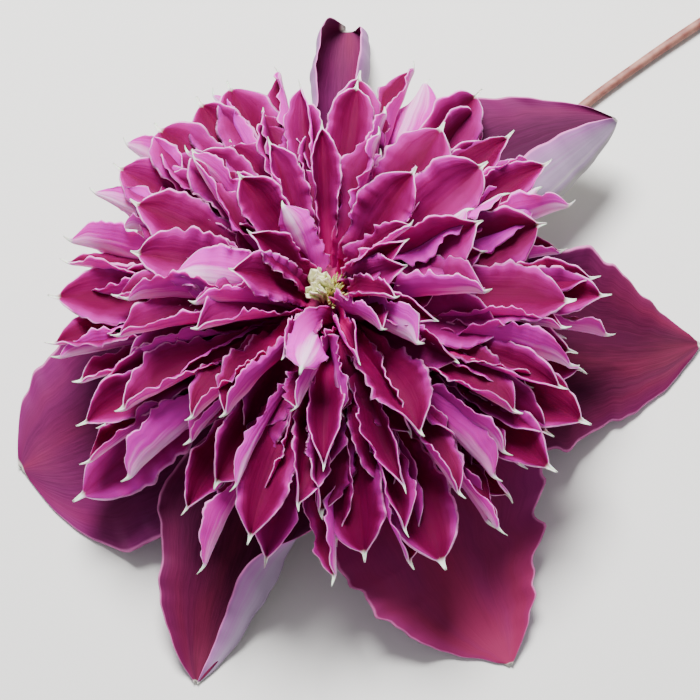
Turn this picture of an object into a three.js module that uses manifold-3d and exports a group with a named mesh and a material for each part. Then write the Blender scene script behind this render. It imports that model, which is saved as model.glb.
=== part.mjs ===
// A picked double clematis flower, lying face up. Seven broad sepals spread round a small receptacle
// and carry the flower on the surface; above them stands a dense, domed head of narrow, boat-shaped
// petals, with a tuft of cream stamens and green styles in its middle. The stalk leaves the back of
// the receptacle, bends down to the surface and lies along it to its cut end.
// Millimetres, +Z up, origin on the surface under the middle of the part's footprint.
import * as THREE from "three";
import { mergeVertices } from "three/addons/utils/BufferGeometryUtils.js";
import Module from "manifold-3d";

const wasm = await Module();
wasm.setup();

// Driving dimensions
const FLOWER_AXIS = [-8.2, -5.1]; // where the flower's axis stands, from the middle of the footprint
const BASE_HEIGHT = 16; // top of the receptacle, where the sepals and the head begin
const SEAT_GAP = 0.3; // clearance between pieces that touch
const RECEPTACLE_RADIUS = 4.6;
const PERCH_RADIUS = 13; // the petals' claws start on a dome of this size
const PERCH_HEIGHT = 9.5;
const CORE_RADIUS = 16; // solid middle of the head, where the claws crowd into one mass
const CORE_HEIGHT = 11.5;
const DOME_RADIUS = 52; // the tips of the petals that show lie on a dome of this reach
const DOME_FOOT = 14;
const DOME_RISE = 27.5;
const UNDER_COUNT = 22; // petals under the rim, which fill the head up from below
const PETAL_THICKNESS = 0.6;
const CLAW_SHARE = 0.2; // width of a petal's claw, as a share of its full width
const WIDEST = 0.64; // how far along a petal is broadest, and where its shoulders run out in the point
const SHOULDERS_END = 0.955;
const SEPAL_THICKNESS = 0.7;
const SEPAL_ROW = 1.3; // the sepals' claws sit on the receptacle in three rows, this far apart
const STALK_DIAMETER = 1.8;
const TUFT_RADIUS = 2.7; // the disc that the stamens stand on
const DISC_HEIGHT = 0.8;
const FILAMENT_THICKNESS = 0.6;
const GOLDEN_ANGLE = Math.PI * (3 - Math.sqrt(5));

const degrees = (angle) => (angle * Math.PI) / 180;
const mix = (a, b, t) => a + (b - a) * t;
const smooth = (t) => t * t * (3 - 2 * t);
const clamp = (t) => Math.min(1, Math.max(0, t));

// A fixed draw from 0 to 1 for the item of that number, one for each channel
function draw(item, channel) {
  const mixed = Math.sin(item * 12.9898 + channel * 78.233 + 4.1) * 43758.5453;
  return mixed - Math.floor(mixed);
}
const spread = (item, channel, reach) => (2 * draw(item, channel) - 1) * reach;

// Solids and meshes
function solidOf(geometry) {
  const bare = geometry.clone();
  for (const name of ["normal", "uv"]) bare.deleteAttribute(name);
  const merged = mergeVertices(bare, 1e-4);
  return new wasm.Manifold(
    new wasm.Mesh({
      numProp: 3,
      vertProperties: new Float32Array(merged.attributes.position.array),
      triVerts: new Uint32Array(merged.index.array),
    }),
  );
}

function geometryOf(solid) {
  const mesh = solid.getMesh();
  const geometry = new THREE.BufferGeometry();
  geometry.setAttribute("position", new THREE.BufferAttribute(mesh.vertProperties, 3));
  geometry.setIndex(new THREE.BufferAttribute(mesh.triVerts, 1));
  geometry.computeVertexNormals();
  return geometry;
}

// The union of solids, without the loose scraps and sealed hollows that fusing can leave
function fuse(solids) {
  const bodies = wasm.Manifold.union(solids).decompose();
  bodies.sort((a, b) => b.volume() - a.volume());
  return bodies[0];
}

// A closed blade round the middle surface (u, v) -> point, where u runs across and v from root to tip.
// Both faces share their diagonals and creases are mitred. Nothing goes below the surface that the
// flower lies on.
function blade(surface, across, along, thickness) {
  const positions = [];
  const triangles = [];
  const rows = along.length;
  const columns = across.length;
  const step = 0.004;
  for (const side of [1, -1])
    for (const v of along)
      for (const u of across) {
        const low = Math.max(0, v - step);
        const high = Math.min(1, v + step);
        const lengthwise = surface(u, high).sub(surface(u, low));
        const [before, here, after] = [u - step, u, u + step].map((across) => surface(across, v));
        const first = lengthwise.clone().cross(here.clone().sub(before)).normalize();
        const second = lengthwise.clone().cross(after.sub(here)).normalize();
        const normal = first.clone().add(second).normalize();
        const mitred = thickness / Math.max(0.5, normal.dot(first));
        const point = here.addScaledVector(normal, (side * mitred) / 2);
        point.z = Math.max(point.z, side > 0 ? thickness : 0);
        positions.push(...point.toArray());
      }
  const at = (row, column) => row * columns + column;
  const under = rows * columns;
  for (let row = 0; row + 1 < rows; row++)
    for (let column = 0; column + 1 < columns; column++) {
      const [a, b] = [at(row, column), at(row, column + 1)];
      const [d, c] = [at(row + 1, column), at(row + 1, column + 1)];
      triangles.push(a, d, c, a, c, b);
      triangles.push(a + under, c + under, d + under, a + under, b + under, c + under);
    }
  const rim = [];
  for (let row = 0; row + 1 < rows; row++) rim.push(at(row, 0));
  for (let column = 0; column + 1 < columns; column++) rim.push(at(rows - 1, column));
  for (let row = rows - 1; row > 0; row--) rim.push(at(row, columns - 1));
  for (let column = columns - 1; column > 0; column--) rim.push(at(0, column));
  rim.forEach((here, index) => {
    const next = rim[(index + 1) % rim.length];
    triangles.push(here, here + under, next, here + under, next + under, next);
  });
  const geometry = new THREE.BufferGeometry();
  geometry.setAttribute("position", new THREE.Float32BufferAttribute(positions, 3));
  geometry.setIndex(triangles);
  return geometry;
}

// The petals that show from above: the tip's azimuth and reach, the width, the roll, how far both sides
// fold up, and how far the root swings round from the tip
const PLACED = [
  [91.5, 30, 8.5, 4, 46], [110.5, 28.5, 9, 12, 46], [127, 24.5, 11, 0, 30], [71, 30, 11, -52, 40],
  [51.5, 25, 11.5, 0, 32], [57, 37, 13, -8, 14], [70.5, 49.5, 11, 155, 22], [74, 53, 10, -58, 38],
  [83.5, 41.5, 10.5, 0, 32], [84, 45.5, 11, 22, 26], [97, 43, 9.5, -24, 46], [101, 51, 10, -66, 32],
  [112, 50, 12.5, 0, 18], [116, 51, 8.5, 80, 52], [119, 49.5, 12.5, 0, 14], [132, 38, 9, 78, 50],
  [136, 53, 12.5, 60, 34], [141.5, 49, 12.5, -4, 20], [149, 50.5, 10.5, 70, 36], [161, 50, 13, 60, 30],
  [165.5, 49, 9.5, 44, 34], [173, 49.5, 12.5, 0, 14], [181.5, 35, 13, 64, 42], [192, 23, 10, 50, 38],
  [203, 24, 12, 24, 40], [176, 26, 11.5, 150, 20], [167, 34, 13, 10, 28], [183.5, 49.5, 11.5, 30, 28],
  [187, 49, 10, 88, 36], [191, 37, 12.5, 34, 38], [209, 40.5, 14, 40, 38], [204, 47, 10.5, 0, 24],
  [226, 33, 11, 50, 38], [235, 29.5, 13, 34, 44], [218, 45, 12, 88, 36], [211, 49.5, 10.5, 62, 30],
  [258.5, 18, 8.5, 152, 14], [259, 24.5, 9.5, 60, 40, 14], [293, 20, 9.5, 0, 50], [319.5, 21, 12, -66, 34],
  [335, 21.5, 9.5, 20, 44], [311, 15.5, 8.5, -40, 40], [300, 32, 14, -28, 40], [290.5, 38, 9.5, 30, 48],
  [269.5, 33, 10.5, 0, 44], [262, 38.5, 11, -30, 40], [252, 44, 10.5, 0, 34], [271, 48, 10, 60, 38],
  [244, 50, 8.5, 78, 44], [236, 17.5, 8.5, 20, 44], [287, 43.5, 9.5, -30, 44], [301.5, 42, 9.5, -50, 40],
  [292.5, 49, 11.5, 0, 14], [246, 37.5, 9.5, 150, 24], [351, 41, 10.5, -48, 42], [343.2, 43.5, 12.5, -78, 30],
  [337.5, 43, 9, 0, 34], [334.5, 48, 11.5, 0, 16], [325, 39, 14, -36, 34], [316, 41.5, 10.5, -55, 38],
  [310.5, 43, 11.5, -88, 32], [305.5, 49, 8, -60, 46], [322, 47.5, 11, 0, 18], [60, 51, 12, 20, 24],
  [40.5, 35.5, 13, 24, 24], [28.5, 28, 10.5, 128, 20], [22, 28.5, 14, 24, 38], [20, 15.5, 8, 30, 45],
  [28, 17.5, 8.5, -30, 45], [1.5, 14.5, 9.5, 25, 35], [30.5, 35.5, 8, 88, 46], [31, 42.5, 10, 150, 30, -9],
  [36, 47, 9.5, 0, 28], [46, 45.5, 9, 0, 30], [24.5, 46.5, 12, -80, 32], [6.5, 46, 8.5, 0, 34],
  [3, 47.5, 10, 0, 30], [358.5, 41.5, 13.5, -8, 10], [353.5, 28, 14, -44, 44], [151, 39, 12, 14, 26],
  [178, 16, 9.5, -10, 30], [129.5, 49.5, 14, 8, 14], [120, 14.5, 8, 140, 20], [150, 15, 8.5, 10, 40],
  [333, 14.5, 7.5, -20, 40],
];

// The numbers of a petal with its tip on the dome, or as far below it as it drops
function petalOf(number, [azimuth, reach, width, roll, crease, swing = 0, drop = 0]) {
  const share = clamp((reach - 14) / 38) ** 2.2;
  const perch = degrees(mix(17, 97, share));
  const perchHeight = PERCH_HEIGHT * Math.max(0.12, Math.cos(perch));
  const root = [PERCH_RADIUS * Math.sin(perch), BASE_HEIGHT + perchHeight];
  const turn = degrees(swing);
  const out = reach * Math.cos(turn) - root[0];
  const rise = DOME_FOOT + DOME_RISE * (1 - (reach / DOME_RADIUS) ** 2.4) - drop - root[1];
  const bend = degrees(34 + spread(number, 2, 12) + 46 * Math.max(0, 1 - (reach - 12) / 14));
  return {
    azimuth: degrees(azimuth) + turn,
    root,
    start: Math.atan2(out, rise) - bend / 2,
    bend,
    length: (Math.hypot(out, rise) * (bend / 2)) / Math.sin(bend / 2),
    half: width / 2,
    cup: degrees(38 + spread(number, 6, 16)),
    skew: spread(number, 13, 0.4),
    crease: degrees(crease),
    roll: degrees(roll),
    twist: degrees(spread(number, 8, 20)),
    sway: -reach * Math.sin(turn),
    ripple: 0.35 + 0.45 * draw(number, 10),
    phase: 2 * Math.PI * draw(number, 11),
  };
}

// A petal of the lowest rows, shorter than the ones over it and lower at its tip
function underPetalOf(index) {
  const number = PLACED.length + index;
  const azimuth = ((index * GOLDEN_ANGLE * 180) / Math.PI) % 360 + spread(number, 3, 5);
  const reach = 43 + spread(number, 4, 6);
  const roll = spread(number, 7, 70);
  return petalOf(number, [azimuth, reach, 11 + spread(number, 5, 2), roll, 30, 0, 3 + 5 * draw(number, 1)]);
}

// Share of the full width at v: a slim claw, broadest past the middle, then a drawn-out point
function petalOutline(v) {
  if (v < WIDEST) return CLAW_SHARE + (1 - CLAW_SHARE) * smooth(v / WIDEST) ** 1.6;
  const past = clamp((v - WIDEST) / (SHOULDERS_END - WIDEST));
  return Math.max(0.1, 1.025 - v, (1 - past ** 2.3) ** 0.75);
}

// Each half of a petal folds up at the midrib and curls on from there as an arc
function petalSection(petal, u, v) {
  const side = Math.sign(u);
  const width = petal.half * petalOutline(v);
  const turn = petal.cup * (1 + side * petal.skew) * (0.35 + 0.65 * Math.sin(Math.PI * v ** 0.8));
  const crease = petal.crease * (1.15 - 0.3 * Math.sin(Math.PI * v));
  const fold = crease + 0.4 * smooth(clamp((v - 0.75) / 0.25));
  const slope = fold + turn * Math.abs(u);
  const wave = u * u * petal.ripple * Math.sin(4.5 * Math.PI * v + petal.phase + 1.9 * side);
  const flare = -0.2 * width * u ** 4;
  return {
    sideways: (side * width * (Math.sin(slope) - Math.sin(fold))) / turn,
    raised: (width * (Math.cos(fold) - Math.cos(slope))) / turn + wave * Math.sin(Math.PI * v) + flare,
  };
}

function petalSurface(petal) {
  const radial = new THREE.Vector3(Math.cos(petal.azimuth), Math.sin(petal.azimuth), 0);
  const around = new THREE.Vector3(-radial.y, radial.x, 0);
  const up = new THREE.Vector3(0, 0, 1);
  const reach = petal.length / petal.bend;
  return (u, v) => {
    const lean = petal.start + petal.bend * v;
    const out = petal.root[0] + reach * (Math.cos(petal.start) - Math.cos(lean));
    const rise = petal.root[1] + reach * (Math.sin(lean) - Math.sin(petal.start));
    const face = radial.clone().multiplyScalar(-Math.cos(lean)).addScaledVector(up, Math.sin(lean));
    const roll = petal.roll * smooth(clamp(v * 1.5)) + petal.twist * (v - 0.4);
    const { sideways, raised } = petalSection(petal, u, v);
    return radial
      .clone()
      .multiplyScalar(out)
      .addScaledVector(up, rise)
      .addScaledVector(around, sideways * Math.cos(roll) - raised * Math.sin(roll) + petal.sway * v * v)
      .addScaledVector(face, sideways * Math.sin(roll) + raised * Math.cos(roll));
  };
}

function petalHead() {
  const dome = new THREE.SphereGeometry(1, 20, 10, 0, 2 * Math.PI, 0, Math.PI / 2);
  const floor = new THREE.CircleGeometry(1, 20).rotateX(Math.PI / 2);
  const positions = [
    ...dome.toNonIndexed().attributes.position.array,
    ...floor.toNonIndexed().attributes.position.array,
  ];
  const closed = new THREE.BufferGeometry();
  closed.setAttribute("position", new THREE.Float32BufferAttribute(positions, 3));
  closed.scale(CORE_RADIUS, CORE_HEIGHT, CORE_RADIUS).rotateX(Math.PI / 2);
  closed.translate(0, 0, BASE_HEIGHT + SEAT_GAP);
  const solids = [solidOf(closed)];
  const petals = PLACED.map((row, number) => petalOf(number, row));
  for (let index = 0; index < UNDER_COUNT; index++) petals.push(underPetalOf(index));
  for (const petal of petals)
    solids.push(solidOf(blade(petalSurface(petal), [-1, 0, 1], [0, 0.46, 0.8, 1], PETAL_THICKNESS)));
  return geometryOf(fuse(solids));
}

// Sepals: their direction and the tip's, in degrees, the tip's reach and height, the full width, the
// row of the claw, how blunt the tip is, and how far the right and the left side curl up and fold
// over, the left one being anticlockwise
const SEPALS = [
  { place: "right", turn: [-4, 1], tip: [63, -1.2], width: 37, row: 0, blunt: 1.2, curl: [6, 20] },
  { place: "upper_right", turn: [44, 38], tip: [63, 13], width: 33, row: 1, blunt: 2, curl: [16, 16] },
  { place: "top", turn: [90, 89], tip: [66, -1.2], width: 18, row: 0, blunt: 2.6, curl: [68, 62] },
  { place: "upper_left", turn: [139, 139], tip: [47, -1.2], width: 24, row: 2, blunt: 1.6, curl: [12, 16] },
  { place: "left", turn: [201, 198.5], tip: [59, -1.2], width: 42, row: 0, blunt: 2.6, curl: [14, 1] },
  { place: "lower_left", turn: [245, 247.5], tip: [63.5, -1.2], width: 32, row: 2, blunt: 1.3, curl: [32, 14] },
  { place: "lower_right", turn: [297, 297], tip: [63.5, -1.2], width: 39, row: 1, blunt: 1.15, curl: [20, 20] },
];
const FOLDS = { upper_right: [140, 0], lower_left: [0, 150] }; // of the right and the left side, in degrees
const FOLD_SPAN = [0.46, 0.62]; // how far out across a half the fold begins and ends

// Share of the full width at v: a short claw, broadest a little past the middle, then the tip
function sepalOutline(v, blunt) {
  const widest = 0.56;
  if (v < widest) return mix(0.1, 1, Math.sin((Math.PI / 2) * (v / widest)) ** 1.25);
  const past = (v - widest) / (1 - widest);
  return Math.max(0.07, 1 - past ** blunt) ** 0.8;
}

// Where a point lies across a sepal: each half curls evenly and may be folded over on the way out
function sepalSection(u, half, curl, fold) {
  const stops = [0, ...FOLD_SPAN, 1];
  let sideways = 0;
  let up = 0;
  let angle = 0;
  for (let part = 0; part < 3; part++) {
    const span = stops[part + 1] - stops[part];
    const rate = Math.max(0.01, curl + (part === 1 ? fold / span : 0));
    const reached = angle + rate * Math.min(span, Math.max(0, Math.abs(u) - stops[part]));
    sideways += (Math.sin(reached) - Math.sin(angle)) / rate;
    up += (Math.cos(angle) - Math.cos(reached)) / rate;
    angle = reached;
  }
  return { sideways: Math.sign(u) * half * sideways, up: half * up };
}

function sepalSurface(sepal, number) {
  const [reach, tipHeight] = sepal.tip;
  const root = BASE_HEIGHT - 3.9 + SEPAL_ROW * sepal.row;
  const path = new THREE.CubicBezierCurve(
    new THREE.Vector2(RECEPTACLE_RADIUS + SEAT_GAP, root),
    new THREE.Vector2(0.42 * reach, root + 1.4),
    new THREE.Vector2(0.72 * reach, 2 + 0.38 * tipHeight + 0.6 * sepal.row),
    new THREE.Vector2(reach, tipHeight),
  );
  const curls = sepal.curl.map(degrees);
  const folds = (FOLDS[sepal.place] ?? [0, 0]).map(degrees);
  return (u, v) => {
    const azimuth = degrees(mix(...sepal.turn, v * v));
    const radial = new THREE.Vector3(Math.cos(azimuth), Math.sin(azimuth), 0);
    const around = new THREE.Vector3(-radial.y, radial.x, 0);
    const rib = path.getPoint(v);
    const slope = path.getTangent(clamp(v));
    const face = radial.clone().multiplyScalar(-slope.y).setZ(slope.x);
    const half = (sepal.width / 2) * sepalOutline(v, sepal.blunt);
    const side = u < 0 ? 0 : 1;
    const curl = curls[side] * smooth(clamp((v - 0.15) / 0.5));
    const { sideways, up } = sepalSection(u, half, curl, folds[side] * smooth(clamp((v - 0.3) / 0.4)));
    const wave = 1.1 * u * u * Math.sin(9 * v + 2.2 * u + 1.7 * number) * smooth(clamp(v * 1.6));
    return radial
      .multiplyScalar(rib.x)
      .setZ(rib.y)
      .addScaledVector(around, sideways)
      .addScaledVector(face, up + wave);
  };
}

function sepalGeometry(sepal, number) {
  const across = [-1, -FOLD_SPAN[1], -FOLD_SPAN[0], 0, ...FOLD_SPAN, 1];
  const along = [0, 0.1, 0.2, 0.3, 0.4, 0.5, 0.6, 0.7, 0.8, 0.9, 1];
  return geometryOf(solidOf(blade(sepalSurface(sepal, number), across, along, SEPAL_THICKNESS)));
}

// The receptacle is a small button; the stalk leaves its underside, bends down to the surface and
// lies along it, away to the upper right
function stalkGeometry() {
  const profile = [
    [0, BASE_HEIGHT - 6.2],
    [1.5, BASE_HEIGHT - 6.0],
    [3.4, BASE_HEIGHT - 5.1],
    [RECEPTACLE_RADIUS, BASE_HEIGHT - 4.3],
    [RECEPTACLE_RADIUS, BASE_HEIGHT - 0.5],
    [RECEPTACLE_RADIUS - 0.5, BASE_HEIGHT],
    [0, BASE_HEIGHT],
  ].map(([radius, height]) => new THREE.Vector2(radius, height));
  const button = new THREE.LatheGeometry(profile, 20).rotateX(Math.PI / 2);
  const radius = STALK_DIAMETER / 2;
  const lying = radius + 0.1;
  const route = new THREE.CatmullRomCurve3(
    [
      [0, 0, BASE_HEIGHT - 5.5],
      [0.4, 0.2, BASE_HEIGHT - 7.5],
      [2.4, 2.2, 5.2],
      [7.5, 7.6, 1.9],
      [15, 16, lying],
      [28, 31.5, lying],
      [42.5, 46.4, lying],
      [54.5, 55.8, lying],
      [65.5, 63.6, lying],
      [73, 68.6, lying],
    ].map((point) => new THREE.Vector3(...point)),
    false,
    "centripetal",
  );
  const outline = new THREE.Shape();
  const sides = 8;
  for (let side = 0; side < sides; side++) {
    const angle = (2 * Math.PI * (side + 0.5)) / sides;
    const corner = [radius * Math.cos(angle), radius * Math.sin(angle)];
    if (side === 0) outline.moveTo(...corner);
    else outline.lineTo(...corner);
  }
  outline.closePath();
  const tube = new THREE.ExtrudeGeometry(outline, { steps: 34, extrudePath: route, bevelEnabled: false });
  return geometryOf(fuse([solidOf(button), solidOf(tube)]));
}

// A straight flat filament from root to tip, broadest just above its middle
function filament(root, tip, width, thickness) {
  const along = tip.clone().sub(root);
  const side = new THREE.Vector3(0, 0, 1).cross(along).normalize();
  const surface = (u, v) => {
    const half = (width / 2) * (0.75 + 0.5 * Math.sin(Math.PI * v) - 0.35 * v);
    return root.clone().addScaledVector(along, v).addScaledVector(side, half * u);
  };
  return solidOf(blade(surface, [-1, 1], [0, 0.55, 1], thickness));
}

// Filaments standing on a small disc, spread over a sector of it, the outer ones leaning out more
function tuft({ foot, radius, count, sector, from, to, height, width, channel }) {
  const disc = new THREE.CylinderGeometry(radius, radius, DISC_HEIGHT, 16).rotateX(Math.PI / 2);
  const solids = [solidOf(disc.translate(0, 0, foot + DISC_HEIGHT / 2))];
  for (let index = 0; index < count; index++) {
    const share = (index + 0.5) / count;
    const turns = (index * GOLDEN_ANGLE) / (2 * Math.PI);
    const azimuth = degrees(mix(...sector, turns % 1) + spread(index, channel, 8));
    const radial = new THREE.Vector3(Math.cos(azimuth), Math.sin(azimuth), 0);
    const sunk = foot + DISC_HEIGHT / 2;
    const root = radial.clone().multiplyScalar(mix(from[0], to[0], Math.sqrt(share))).setZ(sunk);
    const tip = radial.clone().multiplyScalar(mix(from[1], to[1], Math.sqrt(share)));
    tip.setZ(foot + height * (1 + spread(index, channel + 1, 0.12)));
    solids.push(filament(root, tip, width, FILAMENT_THICKNESS));
  }
  return geometryOf(fuse(solids));
}

const TUFT_FOOT = BASE_HEIGHT + CORE_HEIGHT + 2 * SEAT_GAP;
// The stamens that are left stand on the left of the disc, the styles on its middle and right
const STAMENS = {
  foot: TUFT_FOOT,
  radius: TUFT_RADIUS,
  count: 14,
  sector: [108, 262],
  from: [1.9, 2.1],
  to: [2.2, 4],
  height: 6.2,
  width: 1.2,
  channel: 21,
};
const STYLES = {
  foot: TUFT_FOOT + DISC_HEIGHT + SEAT_GAP,
  radius: 1.3,
  count: 14,
  sector: [-70, 70],
  from: [0.2, 1],
  to: [0.6, 3.2],
  height: 5,
  width: 0.7,
  channel: 31,
};

const flower = new THREE.Group();
flower.position.set(...FLOWER_AXIS, 0);

function add(name, geometry, color, roughness) {
  const material = new THREE.MeshStandardMaterial({ color, roughness, metalness: 0, side: THREE.DoubleSide });
  const mesh = new THREE.Mesh(geometry, material);
  mesh.name = name;
  flower.add(mesh);
}

add("petal_head", petalHead(), 0xa0255f, 0.6);
SEPALS.forEach((sepal, number) => add(`sepal_${sepal.place}`, sepalGeometry(sepal, number), 0x7d1f4b, 0.62));
add("stalk", stalkGeometry(), 0xa9766a, 0.7);
add("stamens", tuft(STAMENS), 0xeee6bd, 0.65);
add("styles", tuft(STYLES), 0xb7c05a, 0.6);

export default flower;
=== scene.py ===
"""A picked double clematis flower, lying face up on a pale surface: the finished look of the part."""
import math

import bpy
from mathutils import Matrix, Vector


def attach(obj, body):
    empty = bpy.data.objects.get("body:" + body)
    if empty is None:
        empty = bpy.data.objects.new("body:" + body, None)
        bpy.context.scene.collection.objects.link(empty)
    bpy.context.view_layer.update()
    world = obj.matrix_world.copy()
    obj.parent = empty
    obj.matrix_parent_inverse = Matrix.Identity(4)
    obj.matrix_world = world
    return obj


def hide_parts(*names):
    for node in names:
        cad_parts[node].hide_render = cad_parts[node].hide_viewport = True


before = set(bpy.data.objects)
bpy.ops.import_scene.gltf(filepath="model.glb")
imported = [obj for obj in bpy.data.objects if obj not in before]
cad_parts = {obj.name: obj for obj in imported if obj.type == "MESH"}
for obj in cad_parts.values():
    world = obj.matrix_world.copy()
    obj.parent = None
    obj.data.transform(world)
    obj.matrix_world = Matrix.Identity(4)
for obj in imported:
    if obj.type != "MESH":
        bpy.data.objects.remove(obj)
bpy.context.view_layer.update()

# Camera, light and surface. The flower is photographed from above its lower side, 22 degrees off its
# axis, with a long lens and under one soft light. It lies on a plain pale board.
MM = 0.001
FLOWER_AXIS = (-8.2, -5.1)  # in millimetres, as in the part's source
LENS_TILT_BACK = math.radians(22)
LENS_TILT_RIGHT = math.radians(4)
LENS_DISTANCE = 600 * MM
NEAREST, FARTHEST = 0.01, 10  # between these distances the camera sees
SEEN_WIDTH = 119 * MM  # how much of the flower's plane fills the picture, 0.17 mm a pixel
PICTURE_WIDTH = 700
AXIS_IN_PICTURE = (331, 312)  # the pixel where the flower's axis is seen, at the height looked at
LOOK_HEIGHT = 22 * MM
LIGHT_PLACE = (-0.05, 0.36, 0.61)
LIGHT_AIM = (0, 0, 0.02)
LIGHT_SIZE = 0.34
LIGHT_POWER = 14.9
LIGHT_COLOR = (1.0, 0.985, 0.975)
STUDIO_COLOR = (0.97, 0.96, 0.98, 1)
STUDIO_STRENGTH = 0.38
BOARD_REACH = 3.0
BOARD_COLOR = (0.82, 0.82, 0.80, 1)


def add_camera():
    data = bpy.data.cameras.new("view")
    data.lens = data.sensor_width * LENS_DISTANCE / SEEN_WIDTH
    data.clip_start = NEAREST
    data.clip_end = FARTHEST
    camera = bpy.data.objects.new("view", data)
    bpy.context.collection.objects.link(camera)
    away = Vector((math.tan(LENS_TILT_RIGHT), -math.tan(LENS_TILT_BACK), 1)).normalized()
    up = (Vector((0, 1, 0)) - away * away.y).normalized()
    right = up.cross(away)
    per_pixel = SEEN_WIDTH / PICTURE_WIDTH
    half = PICTURE_WIDTH / 2
    target = Vector((FLOWER_AXIS[0] * MM, FLOWER_AXIS[1] * MM, LOOK_HEIGHT))
    middle = target + right * (half - AXIS_IN_PICTURE[0]) * per_pixel
    middle -= up * (half - AXIS_IN_PICTURE[1]) * per_pixel
    turn = Matrix((right, up, away)).transposed().to_4x4()
    camera.matrix_world = Matrix.Translation(middle + away * LENS_DISTANCE) @ turn
    bpy.context.scene.camera = camera


add_camera()


def add_light():
    data = bpy.data.lights.new("sky_above", "AREA")
    data.shape = "DISK"
    data.size = LIGHT_SIZE
    data.energy = LIGHT_POWER
    data.color = LIGHT_COLOR
    light = bpy.data.objects.new("sky_above", data)
    bpy.context.collection.objects.link(light)
    light.location = LIGHT_PLACE
    toward = Vector(LIGHT_AIM) - Vector(LIGHT_PLACE)
    light.rotation_euler = toward.to_track_quat("-Z", "Y").to_euler()


add_light()

world = bpy.data.worlds.new("studio")
world.use_nodes = True
world.node_tree.nodes["Background"].inputs["Color"].default_value = STUDIO_COLOR
world.node_tree.nodes["Background"].inputs["Strength"].default_value = STUDIO_STRENGTH
bpy.context.scene.world = world


def principled(name, roughness, specular):
    """A material and its shader, with the numbers that are the same all over set on its sockets."""
    made = bpy.data.materials.new(name)
    made.use_nodes = True
    shader = made.node_tree.nodes["Principled BSDF"]
    shader.inputs["Roughness"].default_value = roughness
    shader.inputs["Specular IOR Level"].default_value = specular
    return made, shader


board_finish, board_shader = principled("pale_board", roughness=0.8, specular=0.25)
board_shader.inputs["Base Color"].default_value = BOARD_COLOR
board_mesh = bpy.data.meshes.new("board")
corners = [(x * BOARD_REACH, y * BOARD_REACH, 0) for x, y in ((-1, -1), (1, -1), (1, 1), (-1, 1))]
board_mesh.from_pydata(corners, [], [(0, 1, 2, 3)])
board_mesh.materials.append(board_finish)
board = bpy.data.objects.new("board", board_mesh)
bpy.context.collection.objects.link(board)

# Petal head. Narrow pointed petals, really sterile stamens grown broad, stand in a spiral on a
# dome of crowded claws. Each is a thin boat, crimson inside and pale silvery pink outside, with a
# crisped pale margin and a drawn-out white-green tip. Sizes are in millimetres from here on.
BASE_HEIGHT = 16  # how high the head's foot is above the board
SEAT_GAP = 0.3
PERCH_RADIUS = 13  # the petals' roots stand on a dome of this radius, hidden in the core
PERCH_HEIGHT = 9.5
PERCH_ANGLES = (17, 97)  # how far down that dome the innermost and the outermost roots are, in degrees
LOWEST_PERCH = 0.12  # the height of the outermost roots, as a share of that dome's
CORE_RADIUS = 16
CORE_HEIGHT = 11.5
CORE_SIDES = 48
CORE_STEPS = 12
DOME_RADIUS = 52  # the tips of the petals that show lie on a dome of this reach
DOME_FOOT = 14
DOME_RISE = 27.5
DOME_CURVE = 2.4
INNER_REACH = 14  # within this reach all petals stand on the top of the core
UNDER_COUNT = 28  # petals under the rim, which fill the head up from below
LEFT_OUT = {9, 10, 12, 20}  # those of them that would show through petals over them
FILLING_COUNT = 54  # petals in the depths between the others
DEEPER = {7, 12, 21, 22, 29, 31, 33, 39, 42, 45}  # those of them that lie lower than the rest
DEEPER_BY = 4.2
PETAL_THICKNESS = 0.36
GOLDEN_ANGLE = math.pi * (3 - math.sqrt(5))
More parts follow.
